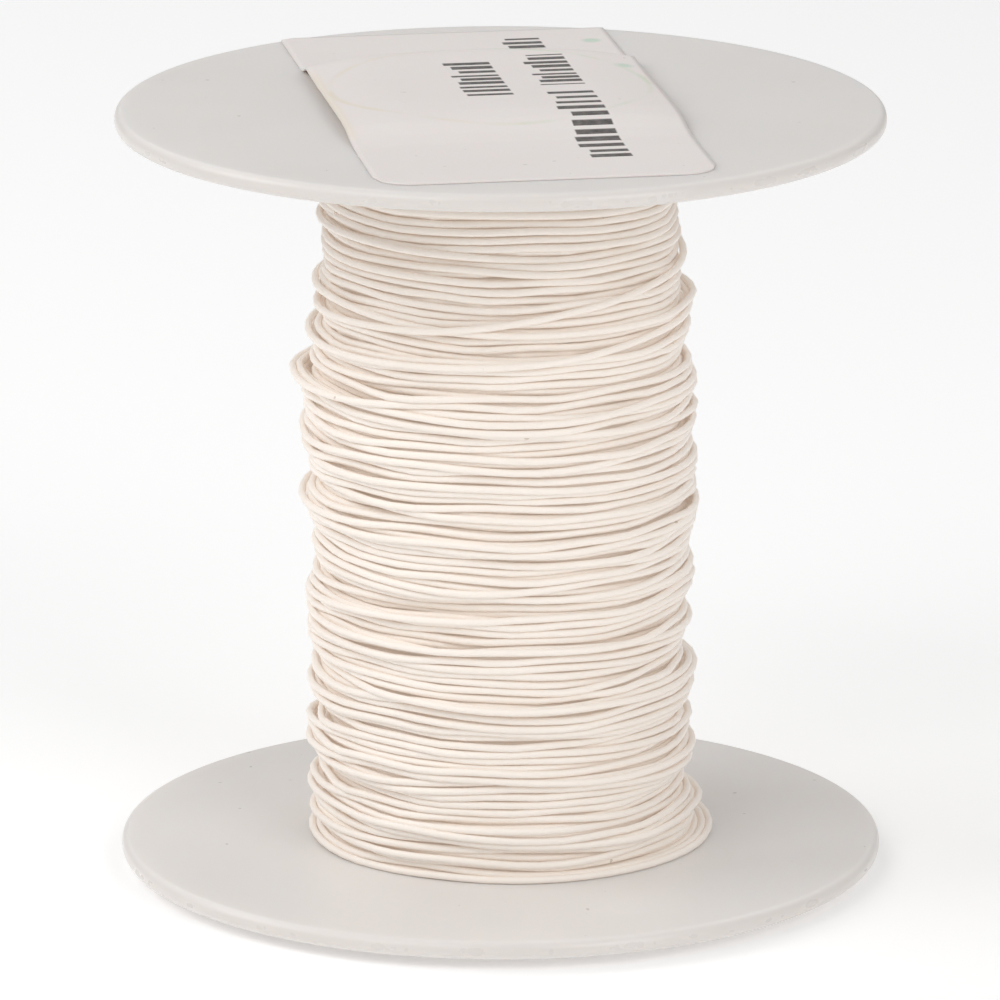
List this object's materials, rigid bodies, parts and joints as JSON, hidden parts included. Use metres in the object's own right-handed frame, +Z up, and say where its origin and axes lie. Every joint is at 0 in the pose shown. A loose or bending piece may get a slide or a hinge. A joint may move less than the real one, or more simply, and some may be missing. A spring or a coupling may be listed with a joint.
{
  "type": "wire reel",
  "caption": "Small flanged plastic reel wound with fine white insulated wire, with a paper label across its upper flange.",
  "frame": {"origin": "centre of the circle that the lower collar stands on, at the lowest point of the reel", "axes": "+Z up along the reel's axis, from the lower flange to the labelled upper flange; the label runs mostly along Y, its front edge towards -Y"},
  "size_m": [0.0508, 0.0508, 0.0527],
  "materials": {
    "spool_plastic": "natural, slightly translucent moulded polyethylene, satin",
    "barrel_plastic": "natural extruded polyethylene tube, satin",
    "wire_insulation": "white fluoropolymer insulation, soft gloss",
    "label_paper": null
  },
  "bodies": {
    "root": {"lower_flange": "spool_plastic", "upper_flange": "spool_plastic", "barrel": "barrel_plastic", "wire_winding": "wire_insulation", "label": "label_paper"}
  },
  "joints": []
}
